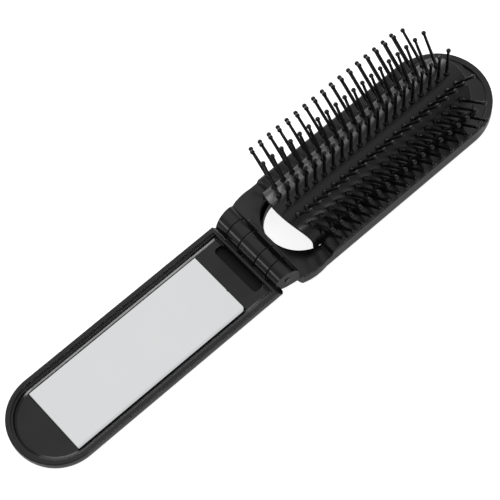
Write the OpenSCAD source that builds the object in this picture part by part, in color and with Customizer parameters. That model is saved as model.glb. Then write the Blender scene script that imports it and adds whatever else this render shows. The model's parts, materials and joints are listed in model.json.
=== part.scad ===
// Folding pocket hairbrush: a mirror tray and a bristle head joined by a knuckle hinge.
// X runs along the brush, tray at -X and head at +X, with the hinge axis along Y at X = 0.
// Z is up and the table is at Z = 0.  The brush lies open on its back, mirror and pins up.

/* [Halves] */
// Hinge axis to the far end of the mirror tray
tray_len = 100; // [92:1:115]
// Hinge axis to the tip of the head
head_len = 100; // [94:1:115]
// Width of the mirror tray
tray_w = 32.4; // [31:0.2:38]
// Width of the head over its rails
head_w = 36.4; // [36.2:0.2:44]
// Height of the hinge axis above the table
axis_h = 10.2; // [9.8:0.1:12]
// Hinge axis down to the tray rim and the flat top of the arms
rim_drop = 1.15; // [0.8:0.05:1.6]
// Rounding along the bottom edge of the tray
tray_back_r = 7.2; // [4:0.1:8]
// Rounding along the bottom edge of the head
head_back_r = 5.8; // [4:0.1:6]

/* [Mirror tray] */
// Width of the flat outer rim
rim_w = 1.7; // [1.4:0.1:2.2]
// Width of the fine groove inside the rim
groove_w = 0.45; // [0.3:0.05:0.7]
// Depth of the fine groove
groove_d = 0.9; // [0.5:0.1:1.2]
// Width of the soft inner lip between groove and floor
lip_w = 1.3; // [1:0.1:1.8]
// Rim down to the tray floor
floor_drop = 2.3; // [2:0.1:4]
// Length of the trough at the hinge end of the tray
trough_len = 3.8; // [3.4:0.1:5]
// Width of the trough
trough_w = 20.4; // [16:0.2:22]
// Depth of the trough below the tray floor
trough_d = 1.6; // [0.5:0.1:2]
// Rounding in plan of the corners of the trough
trough_corner = 1.4; // [0.8:0.1:1.6]
// Rounding in plan of the corners of the tray at the hinge
tray_corner = 1.4; // [1:0.1:2.4]
// Thickness of the end wall at the hinge
end_wall = 0.9; // [0.8:0.1:1.6]

/* [Mirror] */
// Length of the mirror glass
glass_len = 69.6; // [60:0.2:70]
// Width of the mirror glass
glass_w = 25; // [22:0.2:25.2]
// Thickness of the mirror glass
glass_t = 1.3; // [1:0.1:1.6]
// Thickness of the adhesive sheet under the glass
tape_t = 0.3; // [0.2:0.05:0.5]
// How far the glass stands above the tray floor
glass_proud = 0.4; // [0.2:0.1:0.8]
// Hinge axis to the near edge of the glass
glass_x = 15.8; // [15:0.1:16]

/* [Hinge] */
// Radius of the hinge knuckles
knuckle_r = 4.6; // [4:0.1:5]
// Half width of the middle knuckle
knuckle_mid = 3.9; // [3.5:0.1:4.6]
// Distance from the centre line to the outer end of the tray knuckles
knuckle_tray = 9.6; // [9:0.1:11]
// Distance from the centre line to the outer faces of the end knuckles
knuckle_end = 16; // [15:0.1:16.6]
// How far the outer faces of the end knuckles draw in towards the tray
ear_draw = 1.6; // [0:0.1:2]
// Side gap between neighbouring knuckles
knuckle_gap = 0.3; // [0.2:0.05:0.5]
// Diameter of the hinge pin
pin_d = 2; // [1.6:0.1:2.4]
// Radial clearance of the hinge pin
pin_fit = 0.06; // [0.03:0.01:0.1]
// Wall left at the closed end of the pin bore
bore_end = 1.4; // [1:0.1:3]
// How far the pin end lies inside the open end of its bore
pin_sunk = 0.6; // [0.4:0.1:1.5]

/* [Head frame] */
// Radius in plan of the flat arms at the hinge
arm_r = 18.5; // [18.3:0.1:20]
// Half width of the opening under the bristle pad, and the radius of its round near end
opening_r = 12.9; // [12.6:0.1:13.4]
// Plan radius of the far end of the opening
opening_end_r = 20; // [18:0.5:24]
// Thickness of the frame between the knuckles and the opening
bridge_t = 1; // [0.8:0.1:1.4]
// Height of the rib on that wall above the flat top of the arms
rib_h = 0.5; // [0.3:0.1:0.9]
// Width of the frame round the tip
tip_w = 8.6; // [8:0.1:10]
// Width of the ledge low down inside the opening
ledge_w = 0.9; // [0.5:0.1:1.2]
// Height of the ledge above the table
ledge_h = 3.6; // [2:0.1:4.5]
// Hinge axis to the near end of the rails
rail_x = 16.4; // [16:0.1:20]
// Tip back to the far end of the rails
rail_end = 14.5; // [14:0.1:18]
// Height of the rails above the flat top of the arms
rail_h = 2; // [1.6:0.1:2]
// Rounding along the outer top edge of the rails
rail_r = 0.7; // [0.5:0.1:1.6]
// Width of the fine line cut into the top of the tip
tip_line_w = 0.4; // [0.3:0.05:0.6]
// Outline of the tip in to that line
tip_line_in = 2; // [1.4:0.1:2.6]
// Radius of the inner side of the thumb groove at the tip
thumb_r = 12; // [10:0.5:15]
// Width of the thumb groove at the centre line
thumb_w = 1.6; // [1:0.1:2]

/* [Bristle pad] */
// Height of the crest of the pad above the hinge axis
crest_h = 12.6; // [12:0.1:13]
// Height of the arch of the pad
arch_h = 11.8; // [11.2:0.1:12]
// Thickness of the pad sheet
sheet_t = 1.2; // [1:0.1:1.6]
// Clearance between the pad and the frame
pad_gap = 0.3; // [0.2:0.05:0.5]
// Hinge axis to the near end of the pad
pad_x = 9.8; // [9.4:0.1:11]
// Tip back to the far end of the pad
pad_end = 10.6; // [9.8:0.1:12]
// Plan radius of both ends of the pad
pad_end_r = 21; // [19:0.5:24]

/* [Bristle pins] */
// Number of pins in each of the middle rows
pins_n = 19; // [15:1:19]
// Distance between pins along a row
pin_pitch = 3.9; // [3.6:0.01:3.96]
// Hinge axis to the first pin of the middle rows
pins_x = 14.5; // [14.2:0.1:15.4]
// Length of a pin from the pad to the top of its ball
bristle_len = 15; // [12:0.1:15.2]
// Diameter of a pin
bristle_d = 1.3; // [1:0.05:1.5]
// Diameter of the ball at the end of a pin
ball_d = 1.8; // [1.4:0.05:2]
// Diameter of the foot of a pin
foot_d = 2.4; // [1.8:0.1:2.8]

/* [Hidden] */
$fn = 48;

black = "#1b1b1d";
// How far a cut runs past the face that it opens
over = 1;
// How far a web runs into the half that it joins
root = 0.5;

// Mirror tray
rim_z = axis_h - rim_drop;
floor_z = rim_z - floor_drop;
tray_r = tray_w / 2;
knuckle_room = 0.4;
wall_x = knuckle_r + knuckle_room;
// The tray reaches under the knuckles to this distance from the hinge axis
cradle_x = 2.4;
recess_r = tray_r - rim_w - groove_w;
tray_end_x = -(tray_len - tray_r);
recess_x = -(wall_x + end_wall);
floor_r = recess_r - lip_w;
edge_r = 0.4;
// The inner lip stands this far below the rim and is rounded by this much at its foot
lip_drop = 0.3;
lip_foot = 0.5;

// Mirror
glass_z = floor_z + glass_proud - glass_t;
pocket_z = glass_z - tape_t;
pocket_gap = 0.15;
tape_inset = 1.6;

// Head frame
head_r = head_w / 2;
arm_gap = 0.4;
arm_draw = 6;
frame_x = knuckle_r + arm_gap;
near_x = frame_x + arm_draw;
far_x = head_len - head_r;
open_near_x = frame_x + bridge_t + opening_r;
open_far_x = head_len - tip_w;
rail_z = rim_z + rail_h;
rail_slope = 1.6;
end_web = 3;
pin_end_gap = 0.2;
line_d = 0.3;
thumb_d = 0.9;

// Bristle pad.  Its section is half an ellipse, and the rails hold a straight skirt below it.
pad_r = opening_r - pad_gap;
crest_z = axis_h + crest_h;
spring_z = crest_z - arch_h;
skirt_z = rim_z + pad_gap;
pad_far_x = head_len - pad_end;
arch_steps = 12;
foot_h = 1;
seam = 0.01;

// Rows are numbered outwards from the centre line: distance from it, lean of the pins, and
// how many half steps the end pins are set back.
row_y = [0, 0.37 * pad_r, 0.72 * pad_r, 0.945 * pad_r];
row_lean = [0, 26, 44, 46];
row_skip = [0, 0, 1, 2];
slice_y = [0, 0.18 * pad_r, 0.55 * pad_r, 0.84 * pad_r, pad_r + over];
slice_gap = 0.05;

// Height of the outer face of the pad at a distance y from the centre line.
function pad_top(y) = spring_z + arch_h * sqrt(1 - pow(y / pad_r, 2));

// Points along half an ellipse from its right end over the crest to its left end.
function half_ellipse(a, b, n) = [for (i = [0:n]) let (t = 180 * i / n) [a * cos(t), b * sin(t)]];

// Extrudes a section, drawn as width and height, along X.
module along_x(from, to) {
    translate([from, 0, 0]) rotate([90, 0, 90]) linear_extrude(to - from) children();
}

// A bar with the given half section on both sides of the centre line.  It is straight
// between two places on X, and round past those that are marked as round.
module round_bar(from, to, round_from, round_to) {
    along_x(from, to) {
        children();
        mirror([1, 0]) children();
    }
    if (round_from) translate([from, 0, 0]) rotate([0, 0, 90]) rotate_extrude(angle = 180) children();
    if (round_to) translate([to, 0, 0]) rotate([0, 0, -90]) rotate_extrude(angle = 180) children();
}

// Half section of a moulded half with a rounded lower and a rounded upper edge.
module block_section(w, h, low_r, top_r) {
    square([w - low_r, h]);
    translate([0, low_r]) square([w - top_r, h - low_r]);
    translate([0, low_r]) square([w, h - top_r - low_r]);
    intersection() {
        translate([w - low_r, low_r]) circle(low_r);
        square([w, low_r]);
    }
    translate([w - top_r, h - top_r]) circle(top_r);
}

// Plan shape with round ends, as tall as is asked.
module slot_block(from, to, r, z, h) {
    translate([from, 0, z]) cylinder(r = r, h = h);
    translate([to, 0, z]) cylinder(r = r, h = h);
    translate([from, -r, z]) cube([to - from, 2 * r, h]);
}

// A hinge knuckle between two places on Y, with the web that joins it to its half.
// The web reaches along X to the given place.
module knuckle(from, to, reach) {
    low = axis_h - knuckle_r;
    translate([0, from, axis_h]) rotate([-90, 0, 0]) cylinder(r = knuckle_r, h = to - from);
    translate([min(0, reach), from, low]) cube([abs(reach), to - from, rim_z - low]);
}

// Bore for the hinge pin, open on the right side and closed on the left.
module pin_bore() {
    translate([0, -knuckle_end - over, axis_h]) rotate([-90, 0, 0])
        cylinder(d = pin_d + 2 * pin_fit, h = 2 * knuckle_end - bore_end + over);
}

module mirror_tray() {
    lo = knuckle_mid + knuckle_gap / 2;
    hi = knuckle_tray - knuckle_gap / 2;
    color(black) difference() {
        union() {
            difference() {
                round_bar(tray_end_x, -cradle_x, true, false)
                    block_section(tray_r, rim_z, tray_back_r, edge_r);
                tray_corner_cut();
                mirror([0, 1, 0]) tray_corner_cut();
                // Hollow that cradles the knuckles
                translate([0, -tray_w, axis_h]) rotate([-90, 0, 0]) cylinder(r = wall_x, h = 2 * tray_w);
            }
            knuckle(lo, hi, -wall_x - root);
            knuckle(-hi, -lo, -wall_x - root);
        }
        pin_bore();
        tray_recess();
    }
}

// Rounds the left corner of the tray at the hinge, seen from above.
module tray_corner_cut() {
    translate([-cradle_x - tray_corner, tray_r - tray_corner, -over]) difference() {
        cube([tray_corner + over, tray_corner + over, rim_z + 2 * over]);
        cylinder(r = tray_corner, h = rim_z + 2 * over);
    }
}

module tray_recess() {
    lip_z = rim_z - lip_drop;
    // Floor with its soft inner lip
    round_bar(tray_end_x, recess_x, true, false)
        polygon([[0, floor_z], [floor_r, floor_z], [floor_r + 0.5 * lip_w, floor_z + lip_foot],
                 [floor_r + 0.85 * lip_w, lip_z - lip_foot], [recess_r, lip_z],
                 [recess_r, rim_z + over], [0, rim_z + over]]);
    // Fine groove between the outer rim and the inner lip
    round_bar(tray_end_x, recess_x, true, false)
        translate([recess_r - over, rim_z - groove_d]) square([groove_w + over, groove_d + over]);
    // Pocket for the glass
    translate([-glass_x - glass_len - pocket_gap, -glass_w / 2 - pocket_gap, pocket_z])
        cube([glass_len + 2 * pocket_gap, glass_w + 2 * pocket_gap, floor_z - pocket_z + over]);
    // Trough at the hinge end, with rounded corners
    trough_side = trough_w / 2 - trough_corner;
    translate([recess_x - trough_len, 0, floor_z - trough_d]) linear_extrude(trough_d + over) {
        translate([trough_corner, -trough_w / 2]) square([trough_len - 2 * trough_corner, trough_w]);
        translate([0, -trough_side]) square([trough_len, 2 * trough_side]);
        for (x = [trough_corner, trough_len - trough_corner], y = [-trough_side, trough_side])
            translate([x, y]) circle(trough_corner);
    }
}

module mirror_glass() {
    color("#d9dadc") translate([-glass_x - glass_len, -glass_w / 2, glass_z])
        cube([glass_len, glass_w, glass_t]);
}

module mirror_tape() {
    color("#e8e4da") translate([-glass_x - glass_len + tape_inset, -glass_w / 2 + tape_inset, pocket_z])
        cube([glass_len - 2 * tape_inset, glass_w - 2 * tape_inset, tape_t]);
}

module head_frame() {
    inner = knuckle_tray + knuckle_gap / 2;
    mid = knuckle_mid - knuckle_gap / 2;
    color(black) difference() {
        union() {
            difference() {
                union() {
                    round_bar(near_x, far_x, false, true)
                        block_section(head_r, rail_z, head_back_r, rail_r);
                    translate([near_x, 0, 0]) rotate_extrude()
                        block_section(arm_r, rim_z, head_back_r, edge_r);
                }
                translate([frame_x - arm_r, -arm_r - over, -over])
                    cube([arm_r, 2 * (arm_r + over), rail_z + 2 * over]);
                rail_cuts();
                tip_line();
                thumb_groove();
            }
            hinge_rib();
            knuckle(-knuckle_end, -inner, frame_x + end_web);
            knuckle(inner, knuckle_end, frame_x + end_web);
            knuckle(-mid, mid, frame_x + root);
        }
        ear_cut();
        mirror([0, 1, 0]) ear_cut();
        head_opening();
        pin_bore();
    }
}

// Slants the outer face of the left end knuckle, so that it meets the curve of the arm.
module ear_cut() {
    from_x = -knuckle_r - over;
    slope = ear_draw / (frame_x + knuckle_r);
    translate([0, 0, axis_h - knuckle_r - over]) linear_extrude(2 * (knuckle_r + over))
        polygon([[frame_x, knuckle_end], [frame_x, knuckle_end + over],
                 [from_x, knuckle_end + over], [from_x, knuckle_end - slope * (frame_x - from_x)]]);
}

// Lowers the arms and the tip to the flat top, which leaves the rails standing.
module rail_cuts() {
    tip_cut = head_len - rail_end;
    translate([0, head_r + over, 0]) rotate([90, 0, 0]) linear_extrude(head_w + 2 * over) {
        polygon([[0, rim_z], [rail_x, rim_z], [rail_x + rail_slope, rail_z + over],
                 [0, rail_z + over]]);
        polygon([[tip_cut, rim_z], [head_len + over, rim_z], [head_len + over, rail_z + over],
                 [tip_cut - rail_slope, rail_z + over]]);
    }
}

// Low rib along the wall between the knuckles and the opening.
module hinge_rib() {
    rib_len = 2 * knuckle_tray;
    translate([frame_x, -rib_len / 2, rim_z - root]) cube([bridge_t, rib_len, rib_h + root]);
}

// Fine line round the flat top of the tip, at the same distance from the outline all the way.
module tip_line() {
    r = head_r - tip_line_in;
    translate([0, 0, rim_z - line_d]) intersection() {
        translate([head_len - rail_end, -head_r, 0]) cube([rail_end, 2 * head_r, line_d + over]);
        translate([far_x, 0, 0]) difference() {
            cylinder(r = r, h = line_d + over);
            translate([0, 0, -over]) cylinder(r = r - tip_line_w, h = line_d + 3 * over);
        }
    }
}

// Shallow crescent groove inside that line, where a thumbnail opens the brush.
module thumb_groove() {
    h = thumb_d + over;
    translate([0, 0, rim_z - thumb_d]) intersection() {
        translate([far_x, 0, 0]) cylinder(r = head_r - tip_line_in, h = h);
        translate([head_len - tip_line_in - thumb_w + thumb_r, 0, 0]) cylinder(r = thumb_r, h = h);
    }
}

// Through opening under the pad, with a ledge low down all the way round.
module head_opening() {
    opening_block(0, ledge_h, rail_z);
    opening_block(ledge_w, -over, ledge_h + 2 * over);
}

// The plan of the opening, drawn in by the given inset.  Its far end is flatter than its near end.
module opening_block(inset, z, h) {
    r = opening_r - inset;
    bend_x = open_far_x - opening_end_r;
    translate([open_near_x, 0, z]) cylinder(r = r, h = h);
    translate([open_near_x, -r, z]) cube([bend_x - open_near_x, 2 * r, h]);
    intersection() {
        translate([bend_x, -r, z]) cube([opening_end_r, 2 * r, h]);
        translate([bend_x, 0, z]) cylinder(r = opening_end_r - inset, h = h);
    }
}

module hinge_pin() {
    color("#8f9296") translate([0, -knuckle_end + pin_sunk, axis_h]) rotate([-90, 0, 0])
        cylinder(d = pin_d, h = 2 * knuckle_end - pin_sunk - bore_end - pin_end_gap);
}

// The whole moulded sheet: an arch with skirts, cut round at both ends.
module pad_sheet() {
    intersection() {
        along_x(pad_x, pad_far_x) difference() {
            union() {
                translate([0, spring_z]) polygon(half_ellipse(pad_r, arch_h, 2 * arch_steps));
                translate([-pad_r, skirt_z]) square([2 * pad_r, spring_z - skirt_z + seam]);
            }
            translate([0, spring_z])
                polygon(half_ellipse(pad_r - sheet_t, arch_h - sheet_t, 2 * arch_steps));
            translate([-pad_r + sheet_t, skirt_z - over])
                square([2 * (pad_r - sheet_t), spring_z - skirt_z + over + 2 * seam]);
        }
        slot_block(pad_x + pad_end_r, pad_far_x - pad_end_r, pad_end_r, 0, crest_z + over);
    }
}

// One row of pins, fused to its slice of the sheet.  side is 1 on the left and -1 on the right.
module bristle_row(row, side) {
    y0 = row == 0 ? -slice_y[1] : slice_y[row] + slice_gap;
    y1 = slice_y[row + 1];
    n = pins_n - row_skip[row];
    x0 = pins_x + row_skip[row] * pin_pitch / 2;
    color("#202022") mirror([0, side > 0 ? 0 : 1, 0]) {
        intersection() {
            pad_sheet();
            translate([0, y0, 0]) cube([head_len, y1 - y0, crest_z + over]);
        }
        for (i = [0:n - 1])
            translate([x0 + i * pin_pitch, row_y[row], pad_top(row_y[row])])
                rotate([-row_lean[row], 0, 0]) bristle_pin();
    }
}

module bristle_pin() {
    sunk = 0.5 * sheet_t;
    ball_z = bristle_len - ball_d / 2;
    translate([0, 0, -sunk]) cylinder(d = bristle_d, h = ball_z + sunk);
    translate([0, 0, -sunk]) cylinder(d1 = foot_d, d2 = bristle_d, h = sunk + foot_h);
    translate([0, 0, ball_z]) sphere(d = ball_d);
}

mirror_tray();
mirror_glass();
mirror_tape();
head_frame();
hinge_pin();
bristle_row(0, 1);  // bristle_row_centre
bristle_row(1, 1);  // bristle_row_left_1
bristle_row(1, -1);  // bristle_row_right_1
bristle_row(2, 1);  // bristle_row_left_2
bristle_row(2, -1);  // bristle_row_right_2
bristle_row(3, 1);  // bristle_row_left_3
bristle_row(3, -1);  // bristle_row_right_3
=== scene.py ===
"""Looks of the folding hairbrush: finishes of the moulded halves, the mirror,
the soft bristle pad and its pins."""

import json
import math

import bmesh
import bpy
from mathutils import Matrix, Vector


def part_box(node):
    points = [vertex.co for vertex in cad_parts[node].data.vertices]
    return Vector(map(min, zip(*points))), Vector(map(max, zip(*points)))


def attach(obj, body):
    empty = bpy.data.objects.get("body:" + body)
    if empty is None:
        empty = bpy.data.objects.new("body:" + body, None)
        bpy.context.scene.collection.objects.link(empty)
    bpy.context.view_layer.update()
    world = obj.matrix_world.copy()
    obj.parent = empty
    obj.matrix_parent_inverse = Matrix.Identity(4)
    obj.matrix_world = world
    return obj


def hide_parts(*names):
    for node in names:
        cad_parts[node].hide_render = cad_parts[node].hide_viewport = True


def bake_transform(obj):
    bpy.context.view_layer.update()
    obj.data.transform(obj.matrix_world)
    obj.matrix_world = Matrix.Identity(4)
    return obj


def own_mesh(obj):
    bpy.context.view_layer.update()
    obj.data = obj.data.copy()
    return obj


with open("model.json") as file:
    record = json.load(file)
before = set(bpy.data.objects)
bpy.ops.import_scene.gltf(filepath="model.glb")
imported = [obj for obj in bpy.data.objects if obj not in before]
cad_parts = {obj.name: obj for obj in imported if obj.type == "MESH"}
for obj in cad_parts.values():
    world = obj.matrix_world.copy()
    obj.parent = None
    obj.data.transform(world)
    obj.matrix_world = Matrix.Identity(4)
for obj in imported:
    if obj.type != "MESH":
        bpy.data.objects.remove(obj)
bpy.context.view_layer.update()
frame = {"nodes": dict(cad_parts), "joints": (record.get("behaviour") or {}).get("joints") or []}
MM = 0.001

# ---------------------------------------------------------------- sizes from the frame
fold = next(j for j in frame["joints"] if j["name"] == "fold")
AXIS_Z = fold["pos_m"][2]
crown_lo, crown_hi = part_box("bristle_row_centre")
flank_lo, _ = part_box("bristle_row_left_3")
PAD_NEAR = crown_lo.x
PAD_FAR = crown_hi.x
SKIRT_Z = flank_lo.z

# The pad: half an ellipse in section on a straight skirt, cut round at both ends
PAD_R = 12.6 * MM
ARCH = 11.8 * MM
CREST_Z = AXIS_Z + 12.6 * MM
SPRING_Z = CREST_Z - ARCH
SHEET = 1.2 * MM
END_R = 21 * MM
# Its crown drops whole as the brush closes; here the crown ends and each flank begins
CROWN_Y = 6 * MM
# Steps of its mesh: along it, round its edge, across the crown and across a flank
ALONG = 60
EDGE_TURNS = 6
CROWN_STEPS = 24
FLANK_STEPS = 36

# The pins, in rows numbered outwards from the centre line
ROW_Y = [0, 0.37 * PAD_R, 0.72 * PAD_R, 0.945 * PAD_R]
ROW_LEAN = [0, 28, 44, 46]
ROW_SKIP = [0, 0, 1, 2]
PINS = 19
PITCH = 3.9 * MM
FIRST_X = 14.5 * MM
PIN_LEN = 15 * MM
PIN_R = 0.56 * MM
BALL_R = 0.8 * MM
FOOT_R = 1.08 * MM
FOOT_SUNK = 0.5 * MM
FOOT_STEP = 0.1 * MM
FOOT_DOME = 0.95 * MM
PIN_SIDES = 18
SIDES = {"left": 1, "right": -1}

# The mirror glass: its ground corners, the larger one near the hinge on the right, and its arris
CORNER_R = 0.35 * MM
NEAR_RIGHT_R = 1.6 * MM
ARRIS = 0.22 * MM

# Dull places on the gloss of the halves: the tray's trough, and the joints between the knuckles
TROUGH_X = (-9.9 * MM, -5.7 * MM)
TROUGH_Z = (4.9 * MM, 6.4 * MM)
JOINTS_Y = ((3.55 * MM, 4.25 * MM), (9.25 * MM, 9.95 * MM))
KNUCKLES_X = (-4.7 * MM, 4.7 * MM)
KNUCKLES_Z = (8.0 * MM, 16.0 * MM)
# The strip along the mirror's right edge where a dark reflection is painted into the silvering
DARK_REFLECTION_Y = (-16 * MM, -11.3 * MM)

# Lamps: place, target, width, height and radiance
LAMPS = {
    "overhead": ((0.25, 0.3, 0.95), (0, 0, 0), 1.0, 1.6, 0.22),
    "overhead_wide": ((0.25, 0.3, 0.97), (0, 0, 0), 1.5, 1.9, 0.17),
    "far_left": ((0.2, 1.0, 0.32), (0, 0, 0.02), 1.3, 0.6, 4.0),
    "tray_end": ((-1.05, 0.43, 0.52), (0, 0, 0.01), 0.34, 0.26, 2.6),
    "near_right": ((0.14, -0.79, 0.575), (-0.04, 0, 0.01), 0.25, 0.12, 13),
}
# The room: its even light, and how strong it and the floor's glow are for each kind of ray
ROOM = 0.25
ROOM_SEEN = {"Is Camera Ray": 1.0, "Is Transmission Ray": 1.0, "Is Glossy Ray": 0.4}
FLOOR_SEEN = {"Is Camera Ray": 0.86, "Is Transmission Ray": 0.86, "Is Glossy Ray": 0.14}
FLOOR_SIZE = 2.0
FLOOR_GAP = 0.2 * MM

# The camera, fitted to places measured on the brush
SENSOR_MM = 36
LENS_MM = 137.05
EYE = (-0.16112, -0.21372, 0.56293)
TARGET = (-0.00171, 0.00105, 0.0102)
ROLL_DEG = -5.833


# ---------------------------------------------------------------- materials
def new_material(name):
    material = bpy.data.materials.new(name)
    material.use_nodes = True
    tree = material.node_tree
    return material, tree, tree.nodes["Principled BSDF"]


def noise(tree, scale, detail=3.0, rough=0.5):
    """Noise over the object's own coordinates, so that it stays on the piece as it moves."""
    place = tree.nodes.new("ShaderNodeTexCoord")
    node = tree.nodes.new("ShaderNodeTexNoise")
    node.inputs["Scale"].default_value = scale
    node.inputs["Detail"].default_value = detail
    node.inputs["Roughness"].default_value = rough
    tree.links.new(place.outputs["Object"], node.inputs["Vector"])
    return node.outputs["Fac"]


def spread(tree, value, low, high):
    """Maps a value from 0..1 to low..high."""
    node = tree.nodes.new("ShaderNodeMapRange")
    node.inputs["To Min"].default_value = low
    node.inputs["To Max"].default_value = high
    tree.links.new(value, node.inputs["Value"])
    return node.outputs["Result"]


def tint(tree, value, first, second):
    """Mixes two colours by a value. Each is written out or comes from another node."""
    node = tree.nodes.new("ShaderNodeMix")
    node.data_type = "RGBA"
    for socket, colour in ((node.inputs["A"], first), (node.inputs["B"], second)):
        if isinstance(colour, tuple):
            socket.default_value = (*colour, 1)
        else:
            tree.links.new(colour, socket)
    tree.links.new(value, node.inputs["Factor"])
    return node.outputs["Result"]


def bump(tree, shader, height, strength, distance, round_edges=0.0):
    """Fine relief, on top of edges that catch light as if they were rounded."""
    node = tree.nodes.new("ShaderNodeBump")
    node.inputs["Strength"].default_value = strength
    node.inputs["Distance"].default_value = distance
    tree.links.new(height, node.inputs["Height"])
    if round_edges:
        edge = tree.nodes.new("ShaderNodeBevel")
        edge.samples = 6
        edge.inputs["Radius"].default_value = round_edges
        tree.links.new(edge.outputs["Normal"], node.inputs["Normal"])
    tree.links.new(node.outputs["Normal"], shader.inputs["Normal"])


def formula(tree, operation, a, b=None):
    """One step of arithmetic on a value, with a value or a number."""
    node = tree.nodes.new("ShaderNodeMath")
    node.operation = operation
    for socket, given in zip(node.inputs, (a, b)):
        if isinstance(given, (int, float)):
            socket.default_value = given
        elif given is not None:
            tree.links.new(given, socket)
    return node.outputs["Value"]


def position(tree):
    """X, Y and Z in the object's own coordinates."""
    place = tree.nodes.new("ShaderNodeTexCoord")
    axes = tree.nodes.new("ShaderNodeSeparateXYZ")
    tree.links.new(place.outputs["Object"], axes.inputs["Vector"])
    return axes.outputs["X"], axes.outputs["Y"], axes.outputs["Z"]


def within(tree, value, ends, soft):
    """1 where the value lies between two places and 0 outside them, with soft borders."""
    low, high = ends
    up = formula(tree, "DIVIDE", formula(tree, "SUBTRACT", value, low), soft)
    down = formula(tree, "DIVIDE", formula(tree, "SUBTRACT", high, value), soft)
    clamp = tree.nodes.new("ShaderNodeClamp")
    tree.links.new(formula(tree, "MINIMUM", up, down), clamp.inputs["Value"])
    return clamp.outputs["Result"]


def dull_places(tree):
    """1 in the trough of the tray and in the joints between the knuckles, 0 elsewhere."""
    x, y, z = position(tree)
    aside = formula(tree, "ABSOLUTE", y)
    trough = formula(tree, "MULTIPLY", within(tree, x, TROUGH_X, 0.1 * MM),
                     within(tree, z, TROUGH_Z, 0.3 * MM))
    inner, outer = (within(tree, aside, ends, 0.2 * MM) for ends in JOINTS_Y)
    joints = formula(tree, "MAXIMUM", inner, outer)
    barrel = formula(tree, "MULTIPLY", within(tree, x, KNUCKLES_X, 0.1 * MM),
                     within(tree, z, KNUCKLES_Z, 0.3 * MM))
    return formula(tree, "MAXIMUM", trough, formula(tree, "MULTIPLY", joints, barrel))


def moulded_black():
    """Glossy black shell plastic: faint flow marks in the gloss and a fine orange peel.
    The trough of the tray and the joints between the knuckles are left dull."""
    material, tree, shader = new_material("moulded_black")
    cloud = noise(tree, 90, 4)
    tree.links.new(tint(tree, cloud, (0.0035, 0.0035, 0.0037), (0.006, 0.006, 0.0064)),
                   shader.inputs["Base Color"])
    dull = dull_places(tree)
    rough = spread(tree, cloud, 0.13, 0.24)
    tree.links.new(formula(tree, "ADD", rough, formula(tree, "MULTIPLY", dull, 0.3)),
                   shader.inputs["Roughness"])
    gloss = spread(tree, noise(tree, 55, 3), 0.3, 0.66)
    tree.links.new(formula(tree, "MULTIPLY", gloss, spread(tree, dull, 1.0, 0.32)),
                   shader.inputs["Specular IOR Level"])
    shader.inputs["IOR"].default_value = 1.5
    bump(tree, shader, noise(tree, 900, 2), 0.08, 0.00005, 0.00028)
    return material


def soft_black():
    """Satin black of the flexible pad and its pins."""
    material, tree, shader = new_material("soft_black")
    cloud = noise(tree, 140, 4)
    tree.links.new(tint(tree, cloud, (0.0018, 0.0018, 0.0019), (0.0036, 0.0036, 0.0038)),
                   shader.inputs["Base Color"])
    tree.links.new(spread(tree, cloud, 0.18, 0.3), shader.inputs["Roughness"])
    shader.inputs["IOR"].default_value = 1.44
    bump(tree, shader, noise(tree, 1300, 2), 0.1, 0.00004)
    return material


def silvered_glass():
    """Mirror: clear float glass over silver, with the least trace of wipe marks,
    and a dark reflection painted into the silvering towards its right edge."""
    material, tree, shader = new_material("silvered_glass")
    wipe = noise(tree, 60, 5, 0.6)
    silver = tint(tree, wipe, (0.86, 0.87, 0.88), (0.9, 0.905, 0.91))
    _, y, _ = position(tree)
    # Painted reflection: the silvering is darkened in a strip along the right edge, in place of what the
    # mirror reflects there
    dark_reflection = formula(tree, "MULTIPLY", within(tree, y, DARK_REFLECTION_Y, 1.2 * MM), 0.6)
    tree.links.new(tint(tree, dark_reflection, silver, (0.5, 0.51, 0.52)), shader.inputs["Base Color"])
    tree.links.new(spread(tree, wipe, 0.015, 0.05), shader.inputs["Roughness"])
    shader.inputs["Metallic"].default_value = 1.0
    return material


def drawn_steel():
    """Wire of the hinge pin, with its drawing lines along it."""
    material, tree, shader = new_material("drawn_steel")
    lines = noise(tree, 400, 2)
    tree.links.new(tint(tree, lines, (0.09, 0.092, 0.095), (0.16, 0.163, 0.167)), shader.inputs["Base Color"])
    tree.links.new(spread(tree, lines, 0.25, 0.4), shader.inputs["Roughness"])
    shader.inputs["Metallic"].default_value = 1.0
    return material


def white_tape():
    """Foam of the adhesive sheet."""
    material, tree, shader = new_material("white_tape")
    cells = noise(tree, 700, 2)
    tree.links.new(tint(tree, cells, (0.72, 0.7, 0.65), (0.84, 0.82, 0.78)), shader.inputs["Base Color"])
    shader.inputs["Roughness"].default_value = 0.8
    bump(tree, shader, cells, 0.3, 0.0001)
    return material


SHELL = moulded_black()
SOFT = soft_black()
MIRROR = silvered_glass()
STEEL = drawn_steel()
TAPE = white_tape()


def paint_node(name, material):
    """Gives a carried-over node its finish."""
    node = frame["nodes"][name]
    node.data.materials.clear()
    node.data.materials.append(material)


paint_node("mirror_tray", SHELL)
paint_node("head_frame", SHELL)
paint_node("hinge_pin", STEEL)
paint_node("mirror_tape", TAPE)


# ---------------------------------------------------------------- mesh helpers
def make_object(name, mesh, material, body=None):
    mesh.materials.append(material)
    piece = bpy.data.objects.new(name, mesh)
    bpy.context.scene.collection.objects.link(piece)
    if body:
        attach(piece, body)
    return piece


def mesh_from(name, verts, faces):
    mesh = bpy.data.meshes.new(name)
    mesh.from_pydata([tuple(v) for v in verts], [], faces)
    mesh.update()
    mesh.polygons.foreach_set("use_smooth", [True] * len(mesh.polygons))
    return mesh


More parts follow.
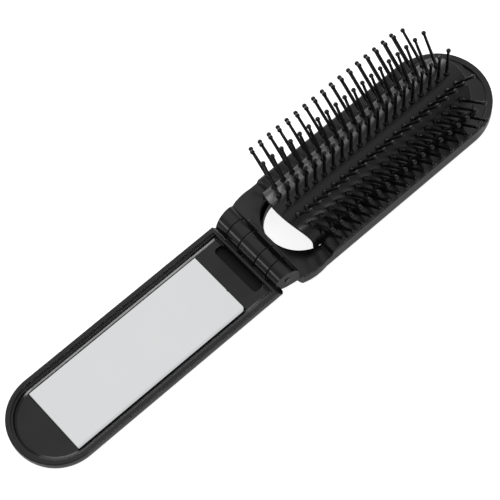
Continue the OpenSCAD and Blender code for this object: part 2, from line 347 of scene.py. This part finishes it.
# ---------------------------------------------------------------- mirror
def mirror_plate():
    """The glass with ground corners, the near right one larger, and a fine arris round both faces."""
    lo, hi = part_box("mirror_glass")
    bm = bmesh.new()
    bmesh.ops.create_cube(bm, size=1)
    size = hi - lo
    middle = (hi + lo) / 2
    for v in bm.verts:
        v.co = Vector((v.co.x * size.x, v.co.y * size.y, v.co.z * size.z)) + middle
    for near_right, offset in ((True, NEAR_RIGHT_R), (False, CORNER_R)):
        upright = [e for e in bm.edges if abs((e.verts[0].co - e.verts[1].co).normalized().z) > 0.9
                   and (e.verts[0].co.x > middle.x and e.verts[0].co.y < middle.y) == near_right
                   and abs(abs(e.verts[0].co.x - middle.x) - size.x / 2) < 1e-6
                   and abs(abs(e.verts[0].co.y - middle.y) - size.y / 2) < 1e-6]
        bmesh.ops.bevel(bm, geom=upright, offset=offset, segments=6, affect="EDGES", profile=0.5)
    rims = [e for e in bm.edges if any(abs(f.normal.z) > 0.9 for f in e.link_faces)]
    bmesh.ops.bevel(bm, geom=rims, offset=ARRIS, segments=2, affect="EDGES", profile=0.6)
    mesh = bpy.data.meshes.new("mirror_plate")
    bm.to_mesh(mesh)
    bm.free()
    plate = make_object("mirror_plate", mesh, MIRROR, "tray")
    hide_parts("mirror_glass")


mirror_plate()


# ---------------------------------------------------------------- bristle pad
def near_end(y):
    return PAD_NEAR + END_R - math.sqrt(END_R**2 - y * y)


def far_end(y):
    return PAD_FAR - END_R + math.sqrt(END_R**2 - y * y)


# The pad's outer face is followed by an angle, a quarter turn for the arch and the rest for the skirt
HALF_TURN = math.pi / 2 + (SPRING_Z - SKIRT_Z) / PAD_R


def section(spot):
    """Point and outward direction of the pad's outer face in Y and Z.
    spot runs from -1 at the right foot over the crest at 0 to 1 at the left foot;
    beyond the spring of the arch it follows the straight skirt."""
    side = 1 if spot >= 0 else -1
    turn = abs(spot) * HALF_TURN
    if turn > math.pi / 2:
        drop = (turn - math.pi / 2) * PAD_R
        return side * PAD_R, SPRING_Z - drop, side, 0.0
    y, z = PAD_R * math.sin(turn), SPRING_Z + ARCH * math.cos(turn)
    ny, nz = math.sin(turn) / PAD_R, math.cos(turn) / ARCH
    size = math.hypot(ny, nz)
    return side * y, z, side * ny / size, nz / size


def spot_at(y):
    return math.asin(y / PAD_R) / HALF_TURN


def pad_part(name, spots):
    """A closed strip of the moulded sheet between two places across it, with rounded open ends."""
    verts, faces, normals = [], [], []
    loop = 2 * ALONG + 2 * EDGE_TURNS
    half = SHEET / 2
    for spot in spots:
        y, z, ny, nz = section(spot)
        x0, x1 = near_end(y) + half, far_end(y) - half
        for k in range(loop):
            if k < ALONG:                           # outer face
                depth, nx, n = 0.0, 0.0, 1.0
                x = x0 + (x1 - x0) * k / (ALONG - 1)
            elif k < ALONG + EDGE_TURNS:            # far edge
                a = math.pi * (k - ALONG + 0.5) / EDGE_TURNS
                nx, n = math.sin(a), math.cos(a)
                depth, x = half - half * n, x1 + half * nx
            elif k < 2 * ALONG + EDGE_TURNS:        # inner face
                depth, nx, n = SHEET, 0.0, -1.0
                x = x1 - (x1 - x0) * (k - ALONG - EDGE_TURNS) / (ALONG - 1)
            else:                                   # near edge
                a = math.pi * (k - 2 * ALONG - EDGE_TURNS + 0.5) / EDGE_TURNS
                nx, n = -math.sin(a), -math.cos(a)
                depth, x = half - half * n, x0 + half * nx
            verts.append((x, y - ny * depth, z - nz * depth))
            normals.append((nx, ny * n, nz * n))
    count = len(spots)
    for j in range(count - 1):
        for k in range(loop):
            a, b = j * loop + k, j * loop + (k + 1) % loop
            faces.append((a, b, b + loop, a + loop))
    for j, outward in ((0, -1), (count - 1, 1)):
        _, _, ny, nz = section(spots[j])
        first = len(verts)
        verts += verts[j * loop:(j + 1) * loop]
        normals += [(0, outward * nz, -outward * ny)] * loop
        faces.append(tuple(range(first, first + loop))[::outward])
    mesh = mesh_from(name, verts, faces)
    mesh.normals_split_custom_set_from_vertices(normals)
    return mesh


def steps(a, b, n):
    return [a + (b - a) * i / n for i in range(n + 1)]


CROWN_SPOT = spot_at(CROWN_Y)


def bristle_pad():
    """The crown, which drops with the middle rows, and the two flanks beside it."""
    crown = make_object("pad_crown", pad_part("pad_crown", steps(-CROWN_SPOT, CROWN_SPOT, CROWN_STEPS)),
                        SOFT, "pad")
    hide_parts("bristle_row_centre")
    for side_name, side in SIDES.items():
        a, b = (CROWN_SPOT, 1) if side > 0 else (-1, -CROWN_SPOT)
        flank = make_object(f"pad_flank_{side_name}", pad_part("pad_flank", steps(a, b, FLANK_STEPS)),
                            SOFT, None)
        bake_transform(flank)


bristle_pad()


# ---------------------------------------------------------------- pins
def pin_profile():
    """Radius and height along a pin: a domed foot, a shaft that tapers a little, and a ball.
    The tip, where the radius is 0, is left to add_pin."""
    dome_r = PIN_R * 1.12
    neck_r = PIN_R * 0.86
    foot = [(FOOT_R, -FOOT_SUNK), (FOOT_R, -FOOT_STEP)]
    for i in range(1, 6):
        a = math.pi / 2 * i / 5
        foot.append((dome_r + (FOOT_R - dome_r) * math.cos(a), -FOOT_STEP + FOOT_DOME * math.sin(a)))
    neck = math.asin(neck_r / BALL_R)
    ball_z = PIN_LEN - BALL_R
    neck_z = ball_z - BALL_R * math.cos(neck) - 0.1 * MM
    shaft = [(PIN_R, 4 * MM), (PIN_R * 0.92, 9 * MM), (neck_r, neck_z)]
    ball = []
    for i in range(8):
        a = math.pi - neck - (math.pi - neck) * i / 8
        ball.append((BALL_R * math.sin(a), ball_z + BALL_R * math.cos(a)))
    return foot + shaft + ball


def add_pin(verts, faces, place, lean):
    """Adds one pin to a row's lists, standing at place and leaning by lean towards +Y."""
    turn = Matrix.Rotation(-lean, 4, "X")
    start = len(verts)
    profile = pin_profile()
    for r, z in profile:
        for i in range(PIN_SIDES):
            a = 2 * math.pi * i / PIN_SIDES
            verts.append(place + turn @ Vector((r * math.cos(a), r * math.sin(a), z)))
    for j in range(len(profile) - 1):
        for i in range(PIN_SIDES):
            a, b = start + j * PIN_SIDES + i, start + j * PIN_SIDES + (i + 1) % PIN_SIDES
            faces.append((a, b, b + PIN_SIDES, a + PIN_SIDES))
    verts.append(place + turn @ Vector((0, 0, PIN_LEN)))
    top = start + (len(profile) - 1) * PIN_SIDES
    for i in range(PIN_SIDES):
        faces.append((top + i, top + (i + 1) % PIN_SIDES, len(verts) - 1))
    faces.append(tuple(start + i for i in reversed(range(PIN_SIDES))))


def pin_row(row, side_name, side):
    """One row of pins. The middle three drop with the pad, and the outer rows lie down."""
    name = "pins_centre" if row == 0 else f"pins_{side_name}_{row}"
    node = "bristle_row_centre" if row == 0 else f"bristle_row_{side_name}_{row}"
    y = ROW_Y[row]
    z = SPRING_Z + ARCH * math.sqrt(1 - (y / PAD_R) ** 2)
    verts, faces = [], []
    for i in range(PINS - ROW_SKIP[row]):
        x = FIRST_X + (i + ROW_SKIP[row] / 2) * PITCH
        add_pin(verts, faces, Vector((x, side * y, z)), side * math.radians(ROW_LEAN[row]))
    body = "pad" if row < 2 else "head"
    pins = make_object(name, mesh_from(name, verts, faces), SOFT, body)
    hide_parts(node)
    if row == 1:
        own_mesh(pins)
    if row > 1:
        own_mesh(pins)


pin_row(0, "centre", 1)
for side_name, side in SIDES.items():
    for row in (1, 2, 3):
        pin_row(row, side_name, side)


# ---------------------------------------------------------------- stage, light and camera
def brighter_seen(tree, plain, seen):
    """A plain strength, or a larger one for the kinds of ray that are listed."""
    path = tree.nodes.new("ShaderNodeLightPath")
    level = plain
    for ray, strength in seen.items():
        level = formula(tree, "MAXIMUM", formula(tree, "MULTIPLY", path.outputs[ray], strength), level)
    return level


def floor():
    """A white floor under the brush that keeps its shadow."""
    size = FLOOR_SIZE
    corners = [(-size, -size, 0), (size, -size, 0), (size, size, 0), (-size, size, 0)]
    mesh = bpy.data.meshes.new("floor")
    mesh.from_pydata(corners, [], [(0, 1, 2, 3)])
    material, tree, shader = new_material("white_floor")
    shader.inputs["Base Color"].default_value = (0.8, 0.8, 0.8, 1)
    shader.inputs["Roughness"].default_value = 0.9
    shader.inputs["Specular IOR Level"].default_value = 0.0
    shader.inputs["Emission Color"].default_value = (1, 1, 1, 1)
    tree.links.new(brighter_seen(tree, 0.0, FLOOR_SEEN), shader.inputs["Emission Strength"])
    mesh.materials.append(material)
    ground = bpy.data.objects.new("floor", mesh)
    ground.location.z = -FLOOR_GAP
    bpy.context.scene.collection.objects.link(ground)


def softbox(name, place, target, width, height, radiance):
    """An area lamp with a plain radiance, seen in reflections but not by the camera."""
    lamp = bpy.data.lights.new(name, "AREA")
    lamp.shape = "RECTANGLE"
    lamp.size = width
    lamp.size_y = height
    lamp.energy = radiance * math.pi * width * height
    box = bpy.data.objects.new(name, lamp)
    box.location = place
    box.rotation_mode = "QUATERNION"
    box.rotation_quaternion = (Vector(target) - Vector(place)).to_track_quat("-Z", "Y")
    box.visible_camera = False
    bpy.context.scene.collection.objects.link(box)


def world_light():
    """An even dim room that is white where it is seen directly or through something clear."""
    world = bpy.data.worlds.new("studio")
    bpy.context.scene.world = world
    world.use_nodes = True
    tree = world.node_tree
    background = tree.nodes["Background"]
    background.inputs["Color"].default_value = (1, 1, 1, 1)
    tree.links.new(brighter_seen(tree, ROOM, ROOM_SEEN), background.inputs["Strength"])


def camera():
    """The photograph's view."""
    lens = bpy.data.cameras.new("camera")
    lens.sensor_width = SENSOR_MM
    lens.lens = LENS_MM
    view = bpy.data.objects.new("camera", lens)
    view.location = EYE
    look = (Vector(TARGET) - view.location).to_track_quat("-Z", "Y")
    roll = Matrix.Rotation(math.radians(ROLL_DEG), 3, "Z").to_quaternion()
    view.rotation_mode = "QUATERNION"
    view.rotation_quaternion = look @ roll
    bpy.context.scene.collection.objects.link(view)
    bpy.context.scene.camera = view


floor()
world_light()
for name, setting in LAMPS.items():
    softbox(name, *setting)
camera()
bpy.context.scene.view_settings.view_transform = "Standard"
